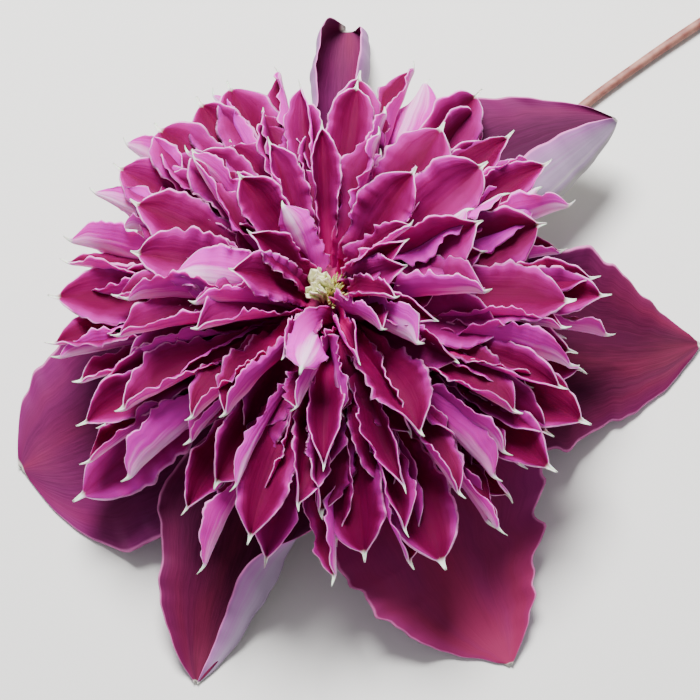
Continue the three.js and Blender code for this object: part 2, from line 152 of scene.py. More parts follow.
# The petals that show from above: the tip's azimuth and reach, the width, the roll, how far both sides
# fold up, and, where they aren't nought, how far the root swings round from the tip and how far the tip
# lies below the dome
PLACED = [
    (91.5, 30, 8.5, 4, 46), (110.5, 28.5, 9, 12, 46), (127, 24.5, 11, 0, 30), (71, 30, 11, -52, 40),
    (51.5, 25, 11.5, 0, 32), (57, 37, 13, -8, 14), (70.5, 49.5, 11, 155, 22), (74, 53, 10, -58, 38),
    (83.5, 41.5, 10.5, 0, 32), (84, 45.5, 11, 22, 26), (97, 43, 9.5, -24, 46), (101, 51, 10, -66, 32),
    (112, 50, 12.5, 0, 18), (116, 51, 8.5, 80, 52), (119, 49.5, 12.5, 0, 14), (132, 38, 9, 78, 50),
    (136, 53, 12.5, 108, 30, 0, -2), (141.5, 49, 12.5, -4, 20), (149, 50.5, 10.5, 112, 32, 0, -2),
    (161, 50, 13, 104, 28, 0, -2), (165.5, 49, 9.5, 44, 34), (173, 49.5, 12.5, 0, 14),
    (181.5, 35, 13, 64, 42), (192, 23, 10, 50, 38), (203, 24, 12, 24, 40), (176, 26, 11.5, 150, 20),
    (167, 34, 13, 10, 28), (183.5, 49.5, 11.5, 30, 28), (187, 49, 10, 88, 36), (191, 37, 12.5, 34, 38),
    (209, 40.5, 14, 40, 38), (204, 47, 10.5, 0, 24), (226, 33, 11, 50, 38), (235, 29.5, 13, 34, 44),
    (221, 46, 13, 92, 34), (211, 49.5, 10.5, 62, 30), (260, 19.3, 7.6, 170, 8, 0, -4),
    (259, 24.5, 9.5, 60, 40, 14), (290, 18.5, 7.5, 0, 60), (319.5, 21, 13.5, -92, 30),
    (335, 21.5, 9.5, 20, 44), (311, 15.5, 8.5, -40, 40), (300, 32, 14, -28, 40),
    (290.5, 38, 9.5, 30, 48), (269.5, 33, 10.5, 0, 44), (262, 38.5, 11, -30, 40),
    (252, 44, 10.5, 0, 34), (271, 48, 10, 60, 38), (244, 50, 8.5, 78, 44), (245, 17, 7.5, -8, 52, 0, 2),
    (287, 43.5, 9.5, -30, 44), (301.5, 42, 9.5, -50, 40), (292.5, 49, 11.5, 0, 14),
    (246, 38, 6.5, 74, 38), (351, 41, 10.5, -48, 42), (343.2, 43.5, 12.5, -78, 30),
    (337.5, 43, 9, 0, 34), (334.5, 48, 11.5, 0, 16), (325, 39, 14, -36, 34), (316, 41.5, 10.5, -55, 38),
    (310.5, 43, 11.5, -88, 32), (305.5, 49, 8, -60, 46), (322, 47.5, 11, 0, 18), (60, 51, 12, 20, 24),
    (40.5, 35.5, 13, 24, 24), (28.5, 28, 10.5, 128, 20), (22, 28.5, 14, 24, 38), (20, 15.5, 8, 30, 45),
    (28, 17.5, 8.5, -30, 45), (1.5, 14.5, 9.5, 25, 35), (30.5, 35.5, 8, 88, 46),
    (31, 42.5, 10, 150, 30, -9), (36, 47, 9.5, 0, 28), (46, 45.5, 9, 0, 30), (24.5, 46.5, 12, -80, 32),
    (6.5, 46, 8.5, 0, 34), (3, 47.5, 10, 0, 30), (358.5, 41.5, 13.5, -8, 10), (353.5, 28, 14, -44, 44),
    (151, 39, 12, 14, 26), (178, 16, 9.5, -10, 30), (129.5, 49.5, 14, 8, 14), (120, 14.5, 8, 140, 20),
    (150, 15, 8.5, 10, 40), (333, 14.5, 7.5, -20, 40, 0, -1.6),
]
# How much paler or darker some petals are than their own draw makes them, by number
TONE_SHIFTS = {
    1: 0.5, 6: -0.5, 7: -0.7, 15: -0.4, 16: -0.4, 17: 0.7, 24: 0.8, 26: 0.5, 29: 0.4, 31: 0.6, 32: -0.6,
    38: -0.8, 48: -0.6, 57: -0.8, 59: -0.6, 60: -0.8, 61: -0.6, 64: 0.7, 66: 0.9, 69: 1.1, 71: -0.6,
    73: -0.9, 74: -0.4, 75: -1.2, 80: 0.6, 85: -1.0, 92: 0.6, 110: 0.6, 111: -1.0, 118: 1.0, 125: 0.5,
    126: 1.3, 128: 0.5, 131: 0.5, 133: 0.5, 138: 0.6, 155: -0.8, 157: 0.6, 162: 1.1, 165: -1.2,
}
# Two late petals: a wide one that lies on the left sepal, and a narrow crumpled one in the upper left
LATE = [(212.5, 53, 11, 8, 0, 0, 4), (132, 35, 6, 50, 46, 16, -0.5)]
BELOW_TUFT = 36  # the smooth petal that hangs down just below the tuft
SMOOTH_NOISE = 200  # the number that its noise is drawn by


def mix(a, b, t):
    return a + (b - a) * t


def draw(item, channel):
    """A fixed draw from 0 to 1 for the item of that number, one for each channel."""
    mixed = math.sin(item * 12.9898 + channel * 78.233 + 4.1) * 43758.5453
    return mixed - math.floor(mixed)


def spread(item, channel, reach):
    return (2 * draw(item, channel) - 1) * reach


def petal(number, azimuth, reach, width, roll, crease, swing=0.0, drop=0.0):
    """The numbers of a petal with its tip on the dome, or as far below it as it drops."""
    share = min(1, max(0, (reach - INNER_REACH) / (DOME_RADIUS - INNER_REACH))) ** 3
    perch = math.radians(mix(*PERCH_ANGLES, share))
    root_out = PERCH_RADIUS * math.sin(perch)
    root_up = BASE_HEIGHT + PERCH_HEIGHT * max(LOWEST_PERCH, math.cos(perch))
    tip_up = DOME_FOOT + DOME_RISE * (1 - (reach / DOME_RADIUS) ** DOME_CURVE) - drop
    turn = math.radians(swing)
    out, rise = reach * math.cos(turn) - root_out, tip_up - root_up
    upper = math.sin(math.radians(azimuth))  # 1 at the top of the picture, -1 at its foot
    bend = math.radians(34 + spread(number, 2, 12) + 46 * max(0, 1 - (reach - 12) / 14))
    return {
        "azimuth": math.radians(azimuth) + turn,
        "root_out": root_out,
        "root_up": root_up,
        "start": math.atan2(out, rise) - bend / 2,
        "bend": bend,
        "length": math.hypot(out, rise) * (bend / 2) / math.sin(bend / 2),
        "half": width * (0.56 - 0.03 * upper),
        "claw": mix(0.52, 0.2, math.sqrt(share)),
        "cup": math.radians(48 + spread(number, 6, 16)),
        "skew": spread(number, 13, 0.35),
        "crease": math.radians(crease * (0.90 - 0.06 * upper)),
        "roll": math.radians(roll),
        "twist": math.radians(spread(number, 8, 20)),
        "sway": -reach * math.sin(turn),
        "ripple": 0.5 + 0.6 * draw(number, 10),
        "blunt": 2.1 + 1.5 * draw(number, 14),
        "phase": 2 * math.pi * draw(number, 11),
        # A random tone for each petal, with painted light added: petals toward the top of the picture,
        # where the light comes from, get a higher tone and a paler, pinker colour, and those at its foot a
        # lower, darker one
        "tone": 0.6 * draw(number, 12) + 0.15 + 0.27 * upper,
        "number": number,
    }


def under_petal(index):
    """A petal of the lowest rows, shorter than the ones over it and lower at its tip."""
    number = len(PLACED) + index
    azimuth = math.degrees(index * GOLDEN_ANGLE) % 360 + spread(number, 3, 5)
    reach = 43 + spread(number, 4, 6)
    width = 12 + spread(number, 5, 2)
    roll = spread(number, 7, 70)
    drop = 3 + 4 * draw(number, 1)
    return petal(number, azimuth, reach, width, roll, crease=30, drop=drop)


def filling_petal(index):
    """A petal between and behind those that show, some way below their tips."""
    number = len(PLACED) + UNDER_COUNT + index
    azimuth = math.degrees(index * GOLDEN_ANGLE) % 360 + spread(number, 3, 6)
    reach = mix(16, 46, math.sqrt((index + 0.5) / FILLING_COUNT))
    width = 10.5 + spread(number, 5, 1.5)
    roll = spread(number, 7, 75)
    drop = 6 + 3 * draw(number, 1) + 2.5 * max(0, math.sin(math.radians(azimuth)))
    if index in DEEPER:
        drop += DEEPER_BY
    return petal(number, azimuth, reach, width, roll, crease=38, drop=drop)


class Value:
    """A number in a node tree, so that a formula made of nodes reads as plain arithmetic."""

    def __init__(self, tree, socket):
        self.tree = tree
        self.socket = socket

    def math(self, operation, *others, clamp=False):
        node = self.tree.nodes.new("ShaderNodeMath")
        node.operation = operation
        node.use_clamp = clamp
        for slot, value in zip(node.inputs, (self, *others)):
            feed(self.tree, slot, value)
        return Value(self.tree, node.outputs[0])

    def __add__(self, other):
        return self.math("ADD", other)

    def __sub__(self, other):
        return self.math("SUBTRACT", other)

    def __mul__(self, other):
        return self.math("MULTIPLY", other)

    def __truediv__(self, other):
        return self.math("DIVIDE", other)

    def __pow__(self, other):
        return self.math("POWER", other)

    def __neg__(self):
        return self.math("MULTIPLY", -1)

    __radd__ = __add__
    __rmul__ = __mul__

    def __rsub__(self, other):
        return -self + other

    def sin(self):
        return self.math("SINE")

    def cos(self):
        return self.math("COSINE")

    def size(self):
        return self.math("ABSOLUTE")

    def clamp(self):
        return self.math("ADD", 0, clamp=True)

    def smooth(self):
        held = self.clamp()
        return held * held * (3 - 2 * held)

    def least(self, other):
        return self.math("MINIMUM", other)

    def most(self, other):
        return self.math("MAXIMUM", other)


def feed(tree, slot, value):
    """Give a node's input a number, or link it to a value."""
    if isinstance(value, Value):
        tree.links.new(value.socket, slot)
    else:
        slot.default_value = value


def new_tree(name, **sizes):
    """A Geometry Nodes tree with a geometry input and output and named inputs for sizes."""
    tree = bpy.data.node_groups.new(name, "GeometryNodeTree")
    tree.interface.new_socket("Geometry", in_out="OUTPUT", socket_type="NodeSocketGeometry")
    tree.interface.new_socket("Geometry", in_out="INPUT", socket_type="NodeSocketGeometry")
    for label, value in sizes.items():
        kind = "NodeSocketInt" if isinstance(value, int) else "NodeSocketFloat"
        tree.interface.new_socket(label, in_out="INPUT", socket_type=kind).default_value = value
    return tree, tree.nodes.new("NodeGroupInput"), tree.nodes.new("NodeGroupOutput")


def add_node(tree, kind, **links):
    """A node with its inputs given by name, spaces written as underscores."""
    node = tree.nodes.new(kind)
    for label, value in links.items():
        slot = node.inputs[label.replace("_", " ")]
        if isinstance(value, bpy.types.NodeSocket):
            tree.links.new(value, slot)
        else:
            feed(tree, slot, value)
    return node


def read(tree, name):
    node = tree.nodes.new("GeometryNodeInputNamedAttribute")
    node.data_type = "FLOAT"
    node.inputs["Name"].default_value = name
    return Value(tree, node.outputs["Attribute"])


def store(tree, geometry, name, value):
    node = tree.nodes.new("GeometryNodeStoreNamedAttribute")
    node.data_type = "FLOAT"
    node.domain = "POINT"
    tree.links.new(geometry, node.inputs["Geometry"])
    node.inputs["Name"].default_value = name
    feed(tree, node.inputs["Value"], value)
    return node.outputs["Geometry"]


def coordinates(tree):
    """The three coordinates of each point, as values."""
    parts = tree.nodes.new("ShaderNodeSeparateXYZ")
    tree.links.new(tree.nodes.new("GeometryNodeInputPosition").outputs[0], parts.inputs[0])
    return [Value(tree, socket) for socket in parts.outputs]


def as_vector(tree, *values):
    node = tree.nodes.new("ShaderNodeCombineXYZ")
    for slot, value in zip(node.inputs, values):
        feed(tree, slot, value)
    return node.outputs[0]


def move(tree, geometry, x, y, z):
    place = as_vector(tree, x, y, z)
    return add_node(tree, "GeometryNodeSetPosition", Geometry=geometry, Position=place).outputs["Geometry"]


def blank(tree, across, along):
    """A closed pillow: u across from -1 to 1, v from root to tip, and h, how far it is off its middle.

    It is a grid 4 wide, whose right half becomes the upper side and whose left half the lower one.
    """
    grid = add_node(
        tree, "GeometryNodeMeshGrid", Size_X=4.0, Size_Y=1.0, Vertices_X=across, Vertices_Y=along
    )
    around, lengthwise, _ = coordinates(tree)
    even = around.size() - 1
    u = even * (1.25 - 0.25 * even * even)
    v = (lengthwise + 0.5).clamp() ** 0.86
    lens = (1 - u**6).most(0).math("SQRT") * (v * (1 - v) * 16).least(1).most(0)
    pillow = move(tree, grid.outputs["Mesh"], u, v, around.math("SIGN") * lens)
    closed = add_node(tree, "GeometryNodeMergeByDistance", Geometry=pillow, Distance=0.0001)
    geometry = closed.outputs["Geometry"]
    for name, value in zip("uvh", coordinates(tree)):
        geometry = store(tree, geometry, name, value)
    return geometry


def noise(tree, place, scale, detail, dimensions="3D"):
    """Noise from 0 to 1 at a place."""
    node = tree.nodes.new("ShaderNodeTexNoise")
    node.noise_dimensions = dimensions
    tree.links.new(place, node.inputs["Vector"])
    node.inputs["Scale"].default_value = scale
    node.inputs["Detail"].default_value = detail
    return Value(tree, node.outputs[0])


def wander(tree, along, across):
    """Smooth noise about zero, from two numbers."""
    return noise(tree, as_vector(tree, along, across), scale=1, detail=1) * 2 - 1


def round_axis(out, sideways, azimuth):
    """The x and y in metres of what lies so far out from the flower's axis and so far to the side."""
    x = (out * azimuth.cos() - sideways * azimuth.sin() + FLOWER_AXIS[0]) * MM
    y = (out * azimuth.sin() + sideways * azimuth.cos() + FLOWER_AXIS[1]) * MM
    return x, y


def hand_over(tree, geometry, finish, result):
    """Shade the geometry smooth, give it its finish and make it what the tree returns."""
    smooth = add_node(tree, "GeometryNodeSetShadeSmooth", Geometry=geometry).outputs["Geometry"]
    painted = add_node(tree, "GeometryNodeSetMaterial", Geometry=smooth, Material=finish)
    tree.links.new(painted.outputs["Geometry"], result.inputs[0])


def petals_tree(finish):
    """The tree that grows a petal for each point of a mesh, from the numbers that the point carries."""
    tree, given, result = new_tree("petals", Across=23, Along=64, Thickness=PETAL_THICKNESS)
    shape = blank(tree, given.outputs["Across"], given.outputs["Along"])
    stand = add_node(
        tree, "GeometryNodeInstanceOnPoints", Points=given.outputs["Geometry"], Instance=shape
    )
    real = add_node(tree, "GeometryNodeRealizeInstances", Geometry=stand.outputs["Instances"])
    u, v, h = (read(tree, name) for name in "uvh")
    azimuth, root_out, root_up = (read(tree, name) for name in ("azimuth", "root_out", "root_up"))
    start, bend, length = (read(tree, name) for name in ("start", "bend", "length"))
    half, base = (read(tree, name) for name in ("half", "claw"))
    cup, skew, crease, roll = (read(tree, name) for name in ("cup", "skew", "crease", "roll"))
    twist, sway, ripple = (read(tree, name) for name in ("twist", "sway", "ripple"))
    phase, number, blunt = (read(tree, name) for name in ("phase", "number", "blunt"))

    # The middle line, an arc from the root to the tip, and how the blade turns round it
    lean = start + bend * v
    reach = length / bend
    out = root_out + reach * (start.cos() - lean.cos())
    rise = root_up + reach * (lean.sin() - start.sin())
    turned = roll * (v * 1.5).smooth() + twist * (v - 0.4)

    # The half width, from the claw over the widest place to the drawn-out tip, and the two sides, folded
    # up along the middle and cupped
    side, edge = u.math("SIGN"), u.size()
    widest, narrowed = 0.64, 0.955
    past = ((v - widest) / (narrowed - widest)).clamp()
    claw = base + (1 - base) * (v / widest).clamp().smooth()
    point = (1 - past**blunt).most(0) ** 0.78
    point = point.most((0.16 - (v - 0.92) * 1.5).least(0.16))
    ragged = 1 + 0.14 * wander(tree, v * 9, number * 3.7 + side)
    ragged = ragged + 0.06 * wander(tree, v * 20, number * 1.9 - side)
    width = half * claw.least(point) * ragged
    turn = cup * (1 + side * skew) * (0.35 + 0.65 * (math.pi * v**0.8).sin())
    fold = crease * (1.15 - 0.3 * (math.pi * v).sin()) + 0.4 * ((v - 0.75) / 0.25).smooth()
    slope = fold + turn * edge
    sideways = side * width * (slope.sin() - fold.sin()) / turn
    raised = width * (fold.cos() - slope.cos()) / turn

    # Waves: slow ones that lift a whole side, quick ones along the margin, and dents; narrow blades, such
    # as the tuft's, have smaller ones
    middle = (math.pi * v).sin().most(0)
    slow = ripple * (4.5 * math.pi * v + phase + 1.9 * side).sin()
    full_grown = 4.4
    small = (half / full_grown).least(1)
    quick = small * 3.2 * wander(tree, v * 14, number * 5.1 + 1.7 * side)
    flare = -0.2 * width * edge**4
    buckle = small * 0.55 * wander(tree, u * 1.3 + number * 4.7, v * 5)
    raised = raised + (edge * edge * slow + edge**4 * quick + buckle) * middle + flare
    raised = raised + small * 0.9 * ((v - 0.92) / 0.08).clamp() ** 2
    sidelong = small * side * edge**4 * 0.9 * wander(tree, v * 14, number * 2.3 - 1.7 * side)
    sideways = sideways + sidelong * middle

    # The thickness, and the place in the flower
    thickness = Value(tree, given.outputs["Thickness"])
    sideways = sideways - side * slope.sin() * h * thickness / 2
    raised = raised + slope.cos() * h * thickness / 2

    along_side = sideways * turned.cos() - raised * turned.sin() + sway * v * v
    along_face = sideways * turned.sin() + raised * turned.cos()
    from_axis = out - along_face * lean.cos()
    x, y = round_axis(from_axis, along_side, azimuth)
    z = (rise + along_face * lean.sin()) * MM
    hand_over(tree, move(tree, real.outputs["Geometry"], x, y, z), finish, result)
    return tree


def point_mesh(name, rows):
    """Loose points at the origin, each carrying its own numbers."""
    mesh = bpy.data.meshes.new(name)
    mesh.from_pydata([(0, 0, 0)] * len(rows), [], [])
    for key in rows[0]:
        attribute = mesh.attributes.new(key, "FLOAT", "POINT")
        attribute.data.foreach_set("value", [float(row[key]) for row in rows])
    return mesh


def grown(name, mesh, tree, **sizes):
    """The plain mesh that a tree makes of a mesh, as an object at the origin."""
    seed = bpy.data.objects.new(name + "_seed", mesh)
    bpy.context.collection.objects.link(seed)
    modifier = seed.modifiers.new("growth", "NODES")
    modifier.node_group = tree
    for socket in tree.interface.items_tree:
        if socket.in_out == "INPUT" and socket.name in sizes:
            modifier[socket.identifier] = sizes[socket.name]
    evaluated = seed.evaluated_get(bpy.context.evaluated_depsgraph_get())
    plain = bpy.data.meshes.new_from_object(evaluated)
    bpy.data.objects.remove(seed)
    piece = bpy.data.objects.new(name, plain)
    bpy.context.collection.objects.link(piece)
    return piece


def attribute(tree, name):
    node = tree.nodes.new("ShaderNodeAttribute")
    node.attribute_name = name
    return Value(tree, node.outputs["Fac"])


def blend(tree, amount, first, second):
    """A colour between two, each a socket or three numbers."""
    node = tree.nodes.new("ShaderNodeMix")
    node.data_type = "RGBA"
    feed(tree, node.inputs["Factor"], amount)
    for slot, color in ((node.inputs[6], first), (node.inputs[7], second)):
        if isinstance(color, bpy.types.NodeSocket):
            tree.links.new(color, slot)
        else:
            slot.default_value = (*color, 1)
    return node.outputs[2]


def streaks(tree, across, along):
    """Noise drawn out along a petal, from 0 to 1."""
    return noise(tree, as_vector(tree, across, along), scale=1, detail=4, dimensions="2D")


def add_bump(tree, shader, height, strength, distance):
    """Fine relief from a value, in the shading only."""
    bump = tree.nodes.new("ShaderNodeBump")
    bump.inputs["Strength"].default_value = strength
    bump.inputs["Distance"].default_value = distance
    tree.links.new(height.socket, bump.inputs["Height"])
    tree.links.new(bump.outputs["Normal"], shader.inputs["Normal"])


petal_finish, petal_shader = principled("petal_tissue", roughness=0.66, specular=0.06)
petal_shader.inputs["Subsurface Weight"].default_value = 0.45
petal_shader.inputs["Subsurface Radius"].default_value = (1.0, 0.15, 0.45)
petal_shader.inputs["Subsurface Scale"].default_value = 0.0016
tree = petal_finish.node_tree
u, v, h, tone = (attribute(tree, name) for name in ("u", "v", "h", "tone"))
edge = u.size()
# The roots' crimson is made brighter than the blade's. It is the real crimson with painted fill light,
# which lifts the deep shaded gaps between the petals and round the core
ROOT_CRIMSON_PAINTED_FILL = (0.36, 0.002, 0.11)
CRIMSON = (0.115, 0.0, 0.034)
MAGENTA = (0.235, 0.005, 0.118)
LILAC = (0.46, 0.018, 0.34)
SILVER_PINK = (0.68, 0.025, 0.50)
PALE_PINK = (0.96, 0.27, 0.66)
MILK = (0.96, 0.54, 0.82)
CREAM = (0.95, 0.93, 0.84)
veins = streaks(tree, u * 7 + tone * 31, v * 1.4)
blots = streaks(tree, u * 1.6 + tone * 17, v * 4)
inside = blend(tree, ((v - 0.18) / 0.36 + (tone - 0.45) * 0.5).smooth(), ROOT_CRIMSON_PAINTED_FILL, CRIMSON)
# The flush, the margins and the silvery backs follow tone, and with it the painted light from the top of
# the picture
flush = edge * 1.6 + (blots - 0.5) * 1.3 + tone * 0.9 + v * 0.4 - 1.28
inside = blend(tree, flush.clamp() * ((v - 0.2) * 4).clamp(), inside, MAGENTA)
margin = (edge - 0.66) * 2.6 + (blots - 0.5) * 1.5 + tone * 0.3 + v * 0.3 - 0.36
inside = blend(tree, margin.clamp() * ((v - 0.3) * 3).clamp() * 0.85, inside, LILAC)
inside = blend(tree, ((0.5 - veins) * 2).clamp() * 0.15, inside, CRIMSON)
silvery = ((v - 0.2) / 0.5).smooth() * (0.8 + tone * 0.45).clamp()
outside = blend(tree, silvery, MAGENTA, SILVER_PINK)
outside = blend(tree, ((0.52 - veins) * 4).clamp() * 0.7, outside, LILAC)
keel = (0.35 - edge) * 2 + (veins - 0.5) * 1.4 + (v - 0.68) * 2.4
keel = keel.clamp() * ((v - 0.3) / 0.3).smooth() * (0.8 + tone * 0.4).clamp() * 0.9
outside = blend(tree, keel, outside, MILK)
body = blend(tree, (h * 60 + 0.5).clamp(), outside, inside)
nearing = ((v - 0.8) / 0.16).smooth()
rim = ((edge - 0.92 + nearing * 0.1) / 0.06 + (veins - 0.5) * 2.4).smooth()
pale = blend(tree, nearing * 0.7, PALE_PINK, MILK)
body = blend(tree, rim * ((v - 0.25) * 4).clamp() * 0.88, body, pale)
body = blend(tree, ((v - 0.935) / 0.03 + (0.1 - edge).most(0) * 2).smooth(), body, CREAM)
tree.links.new(body, petal_shader.inputs["Base Color"])
add_bump(tree, petal_shader, veins + blots * 0.6, strength=0.35, distance=0.0004)

petals = [petal(number, *row) for number, row in enumerate(PLACED)]
petals += [under_petal(index) for index in range(UNDER_COUNT) if index not in LEFT_OUT]
petals += [filling_petal(index) for index in range(FILLING_COUNT)]
first_late = len(PLACED) + UNDER_COUNT + FILLING_COUNT
petals += [petal(first_late + index, *row) for index, row in enumerate(LATE)]
wide_petal, crumpled_petal = petals[-2:]
wide_petal.update(cup=math.radians(10), crease=0, tone=1.9, twist=0)
crumpled_petal.update(ripple=1.5)
petals[BELOW_TUFT].update(number=SMOOTH_NOISE, claw=0.8, blunt=2.5, ripple=0.2, tone=0.9)
petals[BELOW_TUFT].update(twist=0, cup=math.radians(60))
for row in petals:
    row["tone"] += TONE_SHIFTS.get(row["number"], 0)
petal_growth = petals_tree(petal_finish)
# Three pieces of about the same size
GROUPS = {"petals_middle": petals[:56], "petals_rim": petals[56:110], "petals_filling": petals[110:]}
for name, rows in GROUPS.items():
    piece = grown(name, point_mesh(name, rows), petal_growth)
    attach(piece, "root")
    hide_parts("petal_head")

# The dome of crowded claws that the petals stand on
core_finish, core_shader = principled("head_core", roughness=0.7, specular=0.2)
tree = core_finish.node_tree
# The claws are mottled between crimson and the roots' brighter crimson, whose painted fill light lifts the
# shade round the core
claws = noise(tree, tree.nodes.new("ShaderNodeTexCoord").outputs["Object"], scale=600, detail=2)
shown = blend(tree, ((claws - 0.4) * 4).clamp(), ROOT_CRIMSON_PAINTED_FILL, CRIMSON)
tree.links.new(shown, core_shader.inputs["Base Color"])


def mesh_piece(name, points, faces, finish):
    """A smooth-shaded piece from points in millimetres round the flower's axis."""
    mesh = bpy.data.meshes.new(name)
    x, y = FLOWER_AXIS
    mesh.from_pydata([((p[0] + x) * MM, (p[1] + y) * MM, p[2] * MM) for p in points], [], faces)
    mesh.materials.append(finish)
    mesh.polygons.foreach_set("use_smooth", [True] * len(faces))
    piece = bpy.data.objects.new(name, mesh)
    bpy.context.collection.objects.link(piece)
    return piece


def rings_mesh(rings):
    """Points and faces of a closed body made of rings, one after the other, with flat ends."""
    sides = len(rings[0])
    points = [point for ring in rings for point in ring]
    faces = [tuple(reversed(range(sides)))]
    for row in range(len(rings) - 1):
        for side in range(sides):
            a, b = row * sides + side, row * sides + (side + 1) % sides
            faces.append((a, b, b + sides, a + sides))
    faces.append(tuple(range(len(points) - sides, len(points))))
    return points, faces


def turned_rings(profile, sides):
    """Rings round the axis, from radii and heights that go up."""
    angles = [2 * math.pi * side / sides for side in range(sides)]
    return [[(r * math.cos(a), r * math.sin(a), z) for a in angles] for r, z in profile]


dome = []
for step in range(CORE_STEPS + 1):
    level = math.sin(math.pi / 2 * step / CORE_STEPS)
    radius = CORE_RADIUS * math.sqrt(max(0.0004, 1 - level * level))  # the last ring stays open
    dome.append((radius, BASE_HEIGHT + SEAT_GAP + CORE_HEIGHT * level))
core = mesh_piece("petals_core", *rings_mesh(turned_rings(dome, CORE_SIDES)), core_finish)
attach(core, "root")
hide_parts("petal_head")

# Sepals. Seven broad leathery leaves round the foot of the head, wine red above with purple margins,
# grey-lavender beneath with a green-grey bar along the middle. They carry the flower on the surface.
RECEPTACLE_RADIUS = 4.6
SEPAL_THICKNESS = 0.5
SEPAL_FOOT = BASE_HEIGHT - 3.9  # the height at which the claws of the lowest row leave the receptacle
SEPAL_ROW = 1.3  # from one row of claws to the next
FOLD_SPAN = 0.16  # how much of a half the fold takes
# Direction at the root and the tip, the tip's reach and height, the full width, the row of the claw,
# where along the leaf it is widest, how blunt the tip is, how far the right and the left side curl up,
# how far out across a half the fold begins, how far the right and the left side fold over there, how
# ruffled the margin is, how much painted light and shade the upper face gets, and how red it is
SEPALS = {
    "right": (-4, 1, 63, -1.2, 37, 0, 0.56, 1.2, 6, 20, 0.46, 0, 0, 0.7, 0.12, 0.7),
    "upper_right": (44, 38, 63, 13, 38, 1, 0.56, 2, 16, 16, 0.34, 140, 0, 0.35, 0.12, 0.3),
    "top": (90, 89, 64.5, -1.2, 22, 0, 0.8, 5, 132, 128, 0.46, 0, 0, 0.6, 0.3, 0.3),
    "upper_left": (139, 139, 47, -1.2, 24, 2, 0.56, 1.6, 12, 16, 0.46, 0, 0, 0.6, 0.5, 0.5),
    "left": (202, 199, 59, -1.2, 43.5, 0, 0.54, 3.2, 14, 1, 0.46, 0, 0, 0.3, 0.3, 0.3),
    "lower_left": (245, 247.5, 63.5, -1.2, 32, 2, 0.56, 1.3, 32, 14, 0.46, 0, 150, 0.35, 0.2, 0.7),
    "lower_right": (297, 297, 63.5, -1.2, 39, 1, 0.56, 1.15, 20, 20, 0.46, 0, 0, 0.9, 1.0, 0.8),
}
SEPAL_SIZES = (
    "Azimuth", "Tip_azimuth", "Reach", "Tip_height", "Width", "Row", "Widest", "Blunt",
    "Curl_right", "Curl_left", "Fold_at", "Fold_right", "Fold_left", "Ruffle", "Light", "Red",
)
TURNS = {"Azimuth", "Tip_azimuth", "Curl_right", "Curl_left", "Fold_right", "Fold_left"}


